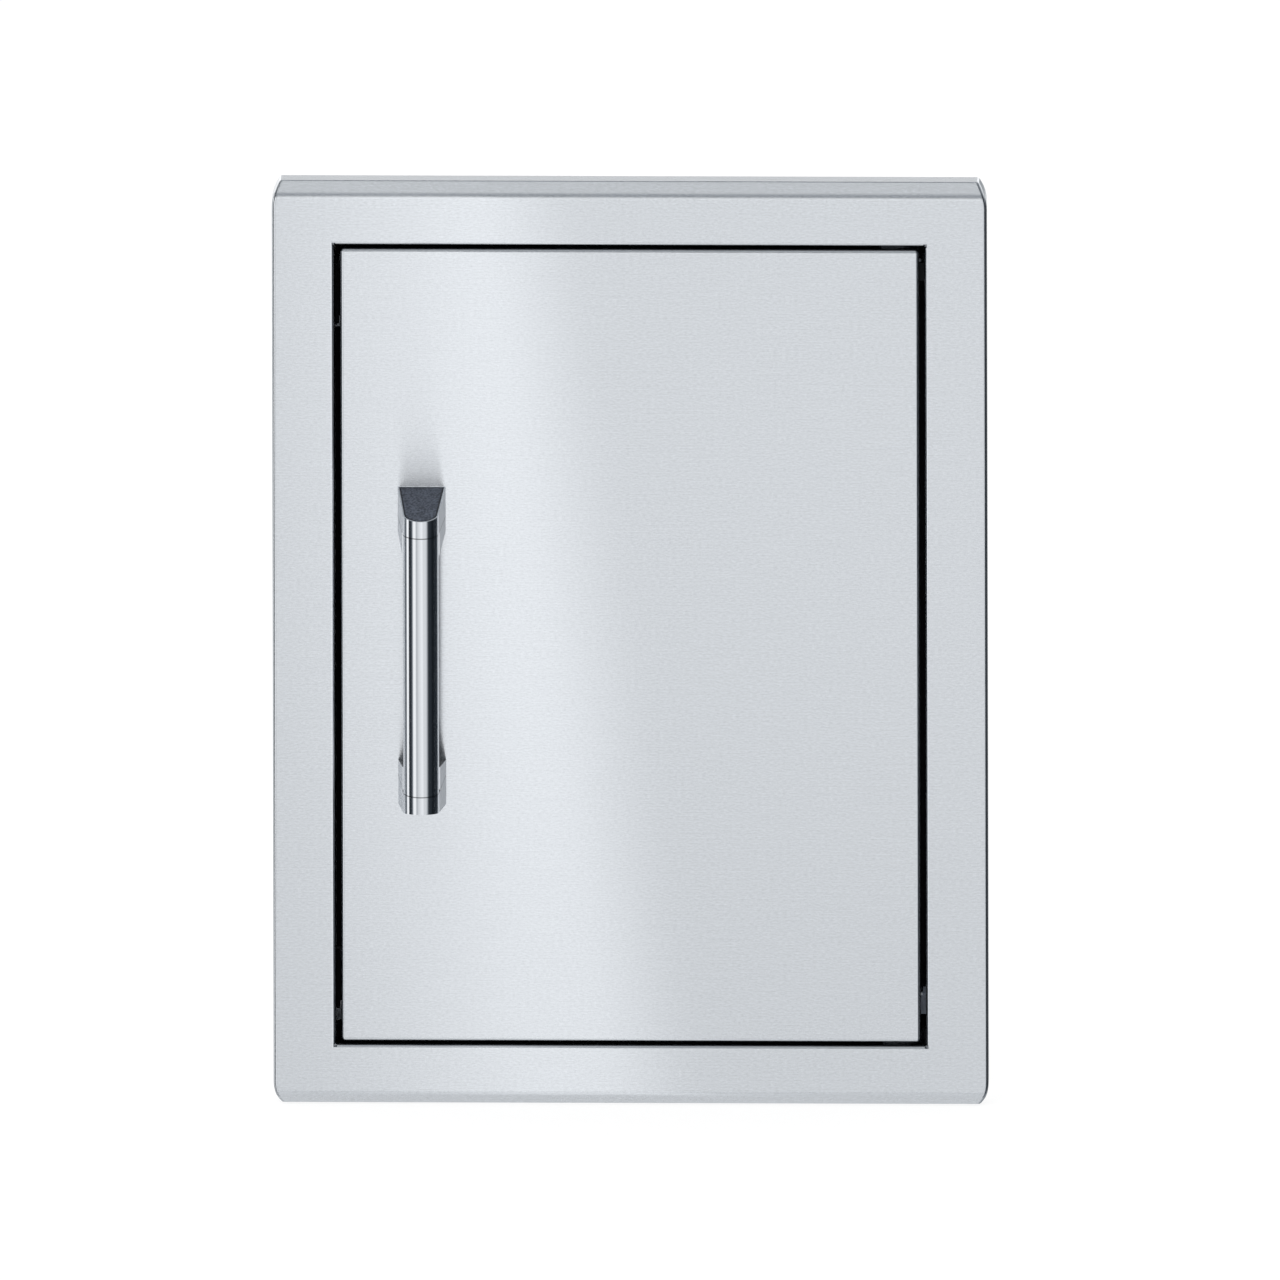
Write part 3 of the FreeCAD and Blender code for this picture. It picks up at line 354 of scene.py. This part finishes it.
HANDLE_X, TUBE_Y = -0.1479, -0.0643  # the tube's axis
TUBE_END = 0.0965  # from the middle of the tube to its ends
SEAM_REACH = 0.00125  # how far from the tube's ends its seam may show
POST_TAPER = math.radians(5.59)  # what the posts' sides lean inwards, seen from above
BUFFING = (300, 300, 2500)
BUFFED_DEPTH = 0.000002
SIDEWAYS = [(0.70, 0.0), (0.90, 1.0)]  # how squarely a surface faces sideways, and its share


def polished_steel(name, colour, sheen):
    """Mirror polish with the faint hairlines that the buffing wheel leaves. What lies behind the
    tube, where the wheel hardly reaches, is duller, and the inner ends of the posts are as cast.
    The flanks behind the tube that face right are painted a fifth darker as shade. The seam is the
    dark line where the tube meets each post, painted as the shade of the groove between them."""
    material = bpy.data.materials.new(name)
    steel = Finish(material)
    place = steel.place()
    _, y, z = steel.apart(place)
    facing_x, _, facing_z = steel.apart(steel.add("TexCoord", {}, {}, "Normal"))
    hairs = steel.noise(steel.stretched(place, BUFFING), 1.0)
    # Painted shade of the groove where the tube meets each post.
    seam_shade = steel.levels(steel.size(z) - TUBE_END, -SEAM_REACH, SEAM_REACH, [
        (-0.000875, 0.0), (-0.000575, 0.7), (0.0, 0.7), (0.0002, 0.0)])
    rearward = steel.levels(y, -0.075, -0.025, [(-0.066, 0.0), (-0.063, 1.0)])
    flank = rearward * steel.ramp(steel.size(facing_x), SIDEWAYS)
    # Painted shade on the flanks behind the tube that face right.
    right_flank_shade = rearward * steel.ramp(facing_x, SIDEWAYS)
    inward = facing_z * steel.maths("SIGN", z) * -1.0
    inner_end = rearward * steel.ramp(inward, [(0.45, 0.0), (0.70, 1.0)])
    tone = ((0.97 + hairs * 0.06) * (1.0 - seam_shade) * (1.0 - right_flank_shade * 0.20)
            * (1.0 - inner_end * 0.75))
    steel.end(steel.add("BsdfPrincipled", {}, {
        "Base Color": steel.toned(colour, tone), "Metallic": 1.0,
        "Roughness": sheen + hairs * 0.05 + flank * 0.28 + inner_end * 0.35,
        "Normal": steel.bump(hairs, BUFFED_DEPTH)}))
    return material


mirror_steel = polished_steel("polished_steel", (0.77, 0.79, 0.82), 0.07)
finish_with(mirror_steel, "handle_tube", "upper_handle_post", "lower_handle_post")


def textured_paint(name, colour, shine, grain, depth):
    """Speckled paint that is darker along the plate's edges: its two sides, which lean
    with the post, its round nose and the straight edge at the door."""
    material = bpy.data.materials.new(name)
    paint = Finish(material)
    place = paint.place()
    x, y, _ = paint.apart(place)
    sideways = paint.size(x - HANDLE_X)
    forwards = TUBE_Y - y
    to_side = sideways * math.cos(POST_TAPER) + forwards * math.sin(POST_TAPER)
    to_nose = (sideways * sideways + forwards * forwards) ** 0.5 * paint.over(forwards, 0.0)
    outward = paint.larger(to_side, to_nose)
    outline = paint.levels(outward, 0.007, 0.017, [(0.0103, 0.0), (0.0108, 1.0)])
    at_door = paint.levels(y, -0.027, -0.017, [(-0.0234, 0.0), (-0.0229, 1.0)])
    edge = paint.larger(outline, at_door)
    specks = paint.noise(place, 1 / grain, 2.0, 0.6)
    tone = (0.45 + paint.ramp(specks, SPOTS) * 1.1) * (1.0 - edge * 0.7)
    paint.end(paint.add("BsdfPrincipled", {}, {
        "Base Color": paint.toned(colour, tone), "Roughness": shine + specks * 0.1,
        "Specular IOR Level": 0.25, "Normal": paint.bump(specks, depth)}))
    return material


insert_paint = textured_paint("slate_texture", (0.072, 0.083, 0.108), 0.42, 0.0016, 0.00012)
finish_with(insert_paint, "upper_handle_end_insert", "lower_handle_end_insert")
finish_with(hinge_steel, "handle_screws", "handle_washers")
finish_with(moulded("grey_plug", (0.17, 0.175, 0.18), 0.5, 0.0006, 0.00002), "liner_plugs")


# Hinge, moving half. A bracket welded inside the skin has an ear above and below each knuckle. The
# pin drops through both ears and the knuckle, between slippery washers, and a clip keeps it there.

finish_with(hinge_steel, "upper_hinge_bracket", "lower_hinge_bracket", "upper_hinge_pin",
            "lower_hinge_pin", "hinge_pin_clips")
finish_with(moulded("acetal", (0.74, 0.73, 0.68), 0.35, 0.0006, 0.00001), "hinge_thrust_washers")


# Floor. A pale floor that the frame's lower edge stands on. To the camera it shines almost white
# by itself, and the light that falls on it does the rest, except in the door's soft shadow.

FLOOR_HALF = 15.0


def sheet(name, finish_name, corners):
    """A flat sheet that belongs to the picture and not to the part."""
    mesh = bpy.data.meshes.new(name)
    mesh.from_pydata(corners, [], [(0, 1, 2, 3)])
    material = bpy.data.materials.new(finish_name)
    mesh.materials.append(material)
    made = bpy.data.objects.new(name, mesh)
    bpy.context.scene.collection.objects.link(made)
    return made, Finish(material)


floor, paint = sheet("floor", "pale_floor", [
    (-FLOOR_HALF, -FLOOR_HALF, cad_low.z), (FLOOR_HALF, -FLOOR_HALF, cad_low.z),
    (FLOOR_HALF, FLOOR_HALF, cad_low.z), (-FLOOR_HALF, FLOOR_HALF, cad_low.z)])
matt = paint.add("BsdfDiffuse", {}, {"Color": lit((0.8, 0.8, 0.8))})
shaded = paint.add("BsdfDiffuse", {}, {"Color": lit((0.22, 0.22, 0.22))})
glow = paint.add("Emission", {}, {"Strength": 0.84})
seen = paint.add("AddShader", {}, {0: shaded, 1: glow})
rays = paint.add("LightPath", {}, {}, "Is Camera Ray")
paint.end(paint.add("MixShader", {}, {0: rays, 1: matt, 2: seen}))
floor.visible_glossy = False


# Studio. White all round for the camera, and pale for matt surfaces. Steel mirrors a room that is
# bright in front and on the left, dark on the right, brightest at the horizon and dim just above
# it, with soft light behind and beside the door so that it is steel from every angle.

DEGREES = 180 / math.pi
MIRRORED_BY_FACE = 0.71  # about what low_to_high gives where the face mirrors the room
REAR_GLOOM, REAR_GLOW, SIDE_FILL = 0.7, 0.85, 0.35
BLUENESS = 0.06  # how much bluer the dark parts of the room are
world = bpy.data.worlds.new("studio")
bpy.context.scene.world = world
world.cycles.sampling_method = "NONE"
room = Finish(world)
aside, rear, up = room.apart(room.add("TexCoord", {}, {}, "Generated"))
bearing = room.maths("ARCTAN2", aside, rear * -1.0) * DEGREES
climb = room.maths("ARCSINE", up) * DEGREES
round_the_room = room.levels(bearing, -180, 180, [
    (-180, 0.90), (-150, 0.60), (-125, 0.30), (-108, 0.12), (-100, 1.20), (-87, 1.25),
    (-82, 0.04), (-66, 0.05), (-57, 0.20), (-49, 1.12), (-36, 1.18), (-27, 0.54),
    (-19, 0.72), (-12, 0.80), (30, 0.80), (38, 0.66), (46, 0.12), (52, 0.045),
    (70, 0.040), (79, 0.016), (88, 0.020), (95, 0.020), (103, 0.006), (110, 0.004),
    (163, 0.004), (175, 0.85), (180, 0.90)])
low_to_high = room.levels(climb, -90, 90, [
    (-90, 0.70), (-70, 0.63), (-58, 0.65), (-45, 0.68), (-32, 0.66), (-25, 0.35),
    (-20, 0.54), (-15, 0.79), (-10, 0.90), (-4, 1.22), (2, 0.92), (8, 0.33),
    (16, 0.08), (26, 0.17), (38, 0.31), (50, 0.39), (62, 0.66), (76, 0.77), (90, 0.63)])
rear_glow = (room.ramp(rear, [(0.45, 0.0), (0.62, 1.0)])
             * room.ramp(up, [(0.0, 0.0), (0.06, 1.0), (0.45, 1.0), (0.62, 0.0)]))
rear_gloom = (room.ramp(rear, [(0.10, 0.0), (0.30, 1.0)])
              * room.ramp(up, [(0.50, 0.0), (0.70, 1.0), (0.90, 1.0), (0.98, 0.0)]))
right_side = room.levels(bearing, -180, 180, [(76, 0.0), (88, 1.0), (160, 1.0), (172, 0.0)])
clear_of_handle = room.levels(climb, -90, 90, [
    (-27, 1.0), (-21.5, 0.0), (-13.5, 0.0), (-8, 1.0)])
level = (round_the_room * low_to_high * (1 / MIRRORED_BY_FACE) * (1.0 - rear_gloom * REAR_GLOOM)
         + rear_glow * REAR_GLOW + right_side * clear_of_handle * SIDE_FILL)
warmth = room.maths("MINIMUM", level, 1.0) ** BLUENESS
mirrored = room.add("CombineXYZ", {}, {"X": level * warmth * warmth, "Y": level * warmth,
                                       "Z": level})
pale = room.add("Background", {}, {"Color": lit((0.9, 0.9, 0.9))})
white = room.add("Background", {}, {"Color": lit((1.0, 1.0, 1.0))})
shiny = room.add("Background", {}, {"Color": mirrored})
glossy_ray = room.add("LightPath", {}, {}, "Is Glossy Ray")
camera_ray = room.add("LightPath", {}, {}, "Is Camera Ray")
seen = room.add("MixShader", {}, {0: glossy_ray, 1: pale, 2: shiny})
seen = room.add("MixShader", {}, {0: camera_ray, 1: seen, 2: white})
room.add("OutputWorld", {}, {"Surface": seen})


# Light card. A tall soft strip of light in front and a little to the left, which the brushed steel
# draws out into the bright band down the door. Its two edges lean, and a wide haze lies round it.

CARD_Y, CARD_HALF, CARD_FOOT, CARD_HEAD = -0.5, 0.42, -1.0, 0.6
LEFT_EDGE, LEFT_LEAN = -0.177, 0.045  # its place at the height of the origin, and its lean
RIGHT_EDGE, RIGHT_LEAN = -0.058, 0.132
CARD_STRENGTH = 0.2
card, strip = sheet("light_card", "light_card", [
    (-CARD_HALF, CARD_Y, CARD_FOOT), (CARD_HALF, CARD_Y, CARD_FOOT),
    (CARD_HALF, CARD_Y, CARD_HEAD), (-CARD_HALF, CARD_Y, CARD_HEAD)])
x, _, z = strip.apart(strip.place())
from_left = x + z * LEFT_LEAN - LEFT_EDGE
from_right = x + z * RIGHT_LEAN - RIGHT_EDGE
band = (strip.levels(from_left, -0.25, 0.25, [(-0.08, 0.0), (0.0, 0.5), (0.07, 1.0)])
        * strip.levels(from_right, -0.25, 0.25, [(-0.03, 1.0), (0.03, 0.0)]))
sideways = x * (1 / CARD_HALF)
haze = (strip.ramp(sideways * sideways, [(0.45, 1.0), (0.95, 0.0)])
        * strip.levels(z, -0.7, 0.3, [(-0.55, 0.0), (-0.05, 1.0)]))
added = strip.add("Emission", {}, {"Strength": (band * 1.05 + haze * 0.5) * CARD_STRENGTH})
clear = strip.add("BsdfTransparent", {}, {})
strip.end(strip.add("AddShader", {}, {0: added, 1: clear}))
for way in ("visible_camera", "visible_diffuse", "visible_transmission", "visible_shadow"):
    setattr(card, way, False)


# Soft lamp. A large lamp over the left shoulder that gives the matt pieces a side of light. The
# steel doesn't mirror it.

lamp_data = bpy.data.lights.new("soft_lamp", "AREA")
lamp_data.shape = "DISK"
lamp_data.size = 1.2
lamp_data.energy = 12.0
lamp = bpy.data.objects.new("soft_lamp", lamp_data)
lamp.location = (-1.1, -1.6, 1.7)
lamp.rotation_euler = (-lamp.location).to_track_quat("-Z", "Y").to_euler()
lamp.visible_glossy = False
bpy.context.scene.collection.objects.link(lamp)


# Camera. Its rays run side by side, as the straight sides in the photograph ask for. It stands a
# little to the right of square on, looks down and hangs very slightly askew.

AZIMUTH = math.radians(1.0)
ELEVATION = math.radians(17.3)
ASKEW = math.radians(-0.125)
PICTURE_WIDTH = 0.9094
CAMERA_DISTANCE = 5.0
AIM_RIGHT = 0.00666
AIM_UP = -0.00214
back = Vector((math.sin(AZIMUTH) * math.cos(ELEVATION), -math.cos(AZIMUTH) * math.cos(ELEVATION),
               math.sin(ELEVATION)))
right = Vector((math.cos(AZIMUTH), math.sin(AZIMUTH), 0))
camera_data = bpy.data.cameras.new("camera")
camera_data.type = "ORTHO"
camera_data.ortho_scale = PICTURE_WIDTH
camera_data.clip_end = 2 * CAMERA_DISTANCE
camera = bpy.data.objects.new("camera", camera_data)
camera.location = right * AIM_RIGHT + back.cross(right) * AIM_UP + back * CAMERA_DISTANCE
camera.rotation_mode = "QUATERNION"
camera.rotation_quaternion = back.to_track_quat("Z", "Y") @ Quaternion((0, 0, 1), ASKEW)
bpy.context.scene.collection.objects.link(camera)
bpy.context.scene.camera = camera
bpy.context.scene.view_settings.view_transform = "Standard"
